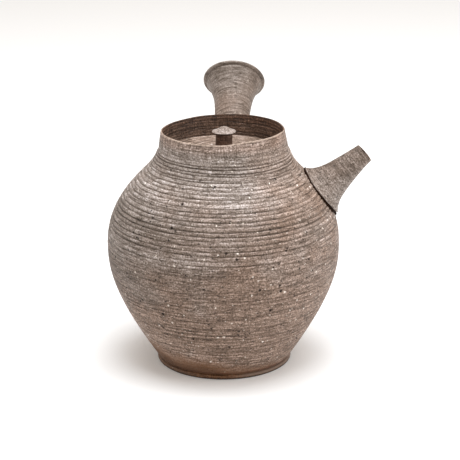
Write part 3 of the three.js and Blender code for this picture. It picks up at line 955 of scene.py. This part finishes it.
class TEAPOT_OT_lute_handle(Operator):
    """Throws the hollow handle, stands it against the shoulder and beds it on slip coloured near-black as the
    seam's painted shadow
    """

    bl_idname = "teapot.lute_handle"
    bl_label = "Lute handle"

    def execute(self, context):
        corners = branch_points(*HANDLE_AXIS)
        length = HANDLE_AXIS[3]

        def outer_at(h):
            return 9.1 + 8.1 * math.exp((h - length) / 10.1) + 5.4 * math.exp(-h / 5)

        def wall_at(h):
            return 2.4 - 1.0 * h / length

        roll = 0.7
        mouth = outer_at(length)
        neck = (outer_at(length - 1.8) - 0.5, length - 1.7)
        lip = [neck, *arc((mouth - roll, length - roll), roll, -50, 180, 12)]
        piece = thrown("handle_trumpet", trumpet_outline(outer_at, wall_at, length, lip, 0.7, 1.9), 160)
        points, normals = points_and_normals(piece)
        height = points[:, 2] / MM
        mark, _ = ring_marks(height + 0.5 * cloud(points, 20 * MM, 32), 2.6, 0.5, 31)
        on_outside = 1 - mark_inside(piece, outer_at)
        strength = on_outside * np.interp(height, [0, 8, 30, 56, 59], [0.1, 0.5, 0.6, 0.5, 0])
        set_points(piece, points - normals * (0.3 * MM * mark * strength)[:, None])
        # Painted shadow under the rolled lip, darkened through the rings mask
        under_lip = on_outside * np.exp(-(((height - length + 1.7) / 0.45) ** 2))
        write_mask(piece, "rings", np.clip(mark * strength + under_lip, 0, 1))
        seat_branch(piece, corners, 1.0)
        uneven(piece, 0.3, 16, 0.06, 1.5, 33)
        clay = branch_clay(
            "handle_clay", HANDLE_LEAN, 0.3, 0.25, light=1.06, contrast=0.5, pits=0.3, fibres=0.16, right=0.8
        )
        finish_piece(piece, "pot", "handle_clay", clay, "handle")
        slip_shadow_bead("handle_slip_shadow", corners, 13.2, ((-60, 1.4), (140, 1.2)))
        return {"FINISHED"}


class TEAPOT_OT_fit_seat(Operator):
    """Lutes the lid seat inside the collar and dresses the strainer"""

    bl_idname = "teapot.fit_seat"
    bl_label = "Fit lid seat and strainer"

    def execute(self, context):
        colours = context.scene.teapot_clay
        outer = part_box("lid_seat")[1].y / MM
        inner = outer - SEAT_WIDTH
        soft = 0.6
        outline = [
            (outer, SEAT_BOTTOM),
            (outer, SEAT_TOP),
            *arc((inner + soft, SEAT_TOP - soft), soft, 90, 180, 4),
            *arc((inner + soft, SEAT_BOTTOM + soft), soft, 180, 270, 4),
            (outer, SEAT_BOTTOM),
        ]
        piece = thrown("lid_ledge", outline, 160)
        shadowed = [clay * tint for clay, tint in zip(colours.grey, colours.inside)]
        clay = plain_clay("inner_clay", shadowed, grog=0.3)
        finish_piece(piece, "pot", "inner_clay", clay, "lid_seat")
        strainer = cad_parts["strainer"]
        strainer.data.materials.clear()
        strainer.data.materials.append(clay)
        return {"FINISHED"}


class TEAPOT_OT_make_lid(Operator):
    """Turns the lid with its fine rings, its vent and the flange under it"""

    bl_idname = "teapot.make_lid"
    bl_label = "Make lid"

    def execute(self, context):
        edge = 0.5
        flat = LID_RADIUS - edge
        top = SEAT_TOP + LID_THICKNESS
        crown = LID_CROWN - top
        dome = [(18, top + 0.6 * crown), (9, top + crown), (0, top + crown)]
        outline = [
            *evenly([(0, SEAT_TOP), (flat, SEAT_TOP)], 4),
            *arc((flat, SEAT_TOP + edge), edge, -90, 0, 4)[1:],
            *arc((flat, top - edge), edge, 0, 90, 4),
            *evenly([(flat, top), *dome], 0.4)[1:],
        ]
        plate = thrown("lid_plate_turned", outline, 180)
        bpy.ops.mesh.primitive_cylinder_add(
            vertices=32, radius=VENT_RADIUS * MM, depth=20 * MM, location=(0, VENT_PLACE * MM, top * MM)
        )
        cut(plate, context.object)
        points, normals = points_and_normals(plate)
        radius = np.hypot(points[:, 0], points[:, 1]) / MM
        upper = (points[:, 2] / MM > top - 0.2) & (radius < LID_RADIUS - 0.6)
        mark, ridge = ring_marks(radius + 0.3 * cloud(points, 14 * MM, 42), 2.9, 0.6, 41, 0.25)
        dip = 0.2 * MM * (mark - 0.3 * ridge) * upper - 0.05 * MM * cloud(points, 8 * MM, 43)
        set_points(plate, points - normals * dip[:, None])
        write_mask(plate, "rings", mark * upper)
        write_mask(plate, "ridges", ridge * upper)
        finish_piece(plate, "lid", "lid_clay", lid_clay("lid_clay", turned=True), "lid_plate")
        low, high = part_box("lid_flange")
        outer = high.y / MM
        inner = outer - FLANGE_WALL
        bottom = low.z / MM
        soft = 0.5
        outline = [
            (outer, SEAT_TOP),
            (inner, SEAT_TOP),
            *arc((inner + soft, bottom + soft), soft, 180, 270, 4),
            *arc((outer - soft, bottom + soft), soft, 270, 360, 4),
            (outer, SEAT_TOP),
        ]
        ring = thrown("lid_flange_turned", outline, 160)
        finish_piece(ring, "lid", "lid_clay", lid_clay("lid_under_clay"), "lid_flange")
        return {"FINISHED"}


class TEAPOT_OT_make_knob(Operator):
    """Models the knob: a short post under a flat hollow-sided cone with a thin uneven edge"""

    bl_idname = "teapot.make_knob"
    bl_label = "Make knob"

    def execute(self, context):
        low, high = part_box("knob_cap")
        centre = (low + high) / 2 / MM
        cap = (high.x - low.x) / 2 / MM
        edge = 0.3
        stem = 4.6
        cap_joint = (4.5, KNOB_CAP_BASE)
        flat = cap - edge
        rim = (flat, KNOB_CAP_BASE + 2 * edge)
        outline = [
            (0, LID_CROWN - 0.2),
            (stem, LID_CROWN - 0.2),
            *curve((stem, LID_CROWN), (4.2, LID_CROWN + 1.5), (4.15, KNOB_CAP_BASE - 2), cap_joint, 12),
            *evenly([(stem, KNOB_CAP_BASE), (flat, KNOB_CAP_BASE)], 0.5)[1:],
            *arc((flat, KNOB_CAP_BASE + edge), edge, -90, 90, 6)[1:-1],
            *curve(rim, (3.6, KNOB_CAP_BASE + 1.1), (2.0, KNOB_TOP), (0, KNOB_TOP), 16),
        ]
        piece = thrown("knob", outline, 120)
        uneven(piece, 0.14, 5, 0.05, 1.2, 51, above=LID_CROWN + 0.3)
        place(piece, Matrix.Translation((centre.x * MM, centre.y * MM, 0)))
        clay = lid_clay("knob_clay", stem_top=KNOB_CAP_BASE + 0.1)
        finish_piece(piece, "lid", "lid_clay", clay, "knob_stem", "knob_cap")
        return {"FINISHED"}


class TEAPOT_OT_set_stage(Operator):
    """Sets the pale floor, which glows a little as painted light, the soft light and the camera"""

    bl_idname = "teapot.set_stage"
    bl_label = "Set stage"

    def execute(self, context):
        studio = context.scene.teapot_studio
        deselect_all()
        bpy.ops.mesh.primitive_plane_add(size=12, location=(0, 0, 0))
        floor = context.object
        floor.name = "floor"
        paper = bpy.data.materials.new("floor_paper")
        paper.use_nodes = True
        shader = paper.node_tree.nodes["Principled BSDF"]
        for label, value in (
            ("Base Color", (0.84, 0.838, 0.835, 1)),
            # Painted light: a faint warm glow of the floor lifts and warms its shadows
            ("Emission Color", (1, 0.94, 0.87, 1)),
            ("Emission Strength", 0.11),
            ("Roughness", 0.9),
            ("Specular IOR Level", 0.1),
        ):
            shader.inputs[label].default_value = value
        floor.data.materials.append(paper)
        self.light(studio)
        self.camera(context, studio)
        context.scene.view_settings.view_transform = "Standard"
        return {"FINISHED"}

    def light(self, studio):
        world = bpy.data.worlds.new("studio")
        world.use_nodes = True
        background = world.node_tree.nodes["Background"]
        background.inputs["Color"].default_value = (1, 0.95, 0.9, 1)
        background.inputs["Strength"].default_value = studio.sky
        bpy.context.scene.world = world
        target = Vector((0, 0, 0.06))
        for name, energy, location in (
            ("key", studio.key, (0.05, -0.06, 1.05)),
            ("side", studio.side, (1.0, -0.35, 0.55)),
        ):
            bpy.ops.object.light_add(type="AREA", location=location)
            light = bpy.context.object
            light.name = name
            light.data.energy = energy
            light.data.size = 0.75
            light.data.color = (0.967, 1.0, 1.042)
            light.rotation_euler = (target - light.location).to_track_quat("-Z", "Y").to_euler()

    def camera(self, context, studio):
        """Looks down on the pot from the front, turned by a fraction of a degree."""
        pitch, roll = math.radians(18.144), math.radians(-0.325)
        deselect_all()
        bpy.ops.object.camera_add(location=(3.407 * MM, -807.73 * MM, 333.9 * MM))
        camera = context.object
        camera.name = "camera"
        turn = Matrix.Rotation(math.pi / 2 - pitch, 3, "X") @ Matrix.Rotation(roll, 3, "Z")
        camera.rotation_euler = turn.to_euler()
        camera.data.sensor_width = 36
        camera.data.lens = studio.lens
        camera.data.clip_start = 10 * MM
        context.scene.camera = camera


class TEAPOT_PT_workshop(Panel):
    """Lists the steps of making the pot"""

    bl_idname = "TEAPOT_PT_workshop"
    bl_label = "Teapot"
    bl_space_type = "VIEW_3D"
    bl_region_type = "UI"
    bl_category = "Teapot"

    def draw(self, context):
        for settings in (context.scene.teapot_sizes, context.scene.teapot_clay, context.scene.teapot_studio):
            box = self.layout.box()
            for name in settings.__annotations__:
                box.prop(settings, name)
        for step in STEPS:
            self.layout.operator(step.bl_idname)


STEPS = (
    TEAPOT_OT_throw_body,
    TEAPOT_OT_turn_foot,
    TEAPOT_OT_lute_spout,
    TEAPOT_OT_lute_handle,
    TEAPOT_OT_fit_seat,
    TEAPOT_OT_make_lid,
    TEAPOT_OT_make_knob,
    TEAPOT_OT_set_stage,
)
CLASSES = (TeapotSizes, ClayColours, StudioSettings, *STEPS, TEAPOT_PT_workshop)


def register():
    for each in CLASSES:
        bpy.utils.register_class(each)
    bpy.types.Scene.teapot_sizes = PointerProperty(type=TeapotSizes)
    bpy.types.Scene.teapot_clay = PointerProperty(type=ClayColours)
    bpy.types.Scene.teapot_studio = PointerProperty(type=StudioSettings)


def unregister():
    del bpy.types.Scene.teapot_studio
    del bpy.types.Scene.teapot_clay
    del bpy.types.Scene.teapot_sizes
    for each in reversed(CLASSES):
        bpy.utils.unregister_class(each)


def main():
    register()
    bpy.ops.teapot.throw_body()
    bpy.ops.teapot.turn_foot()
    bpy.ops.teapot.lute_spout()
    bpy.ops.teapot.lute_handle()
    bpy.ops.teapot.fit_seat()
    bpy.ops.teapot.make_lid()
    bpy.ops.teapot.make_knob()
    bpy.ops.teapot.set_stage()


if __name__ == "__main__":
    main()
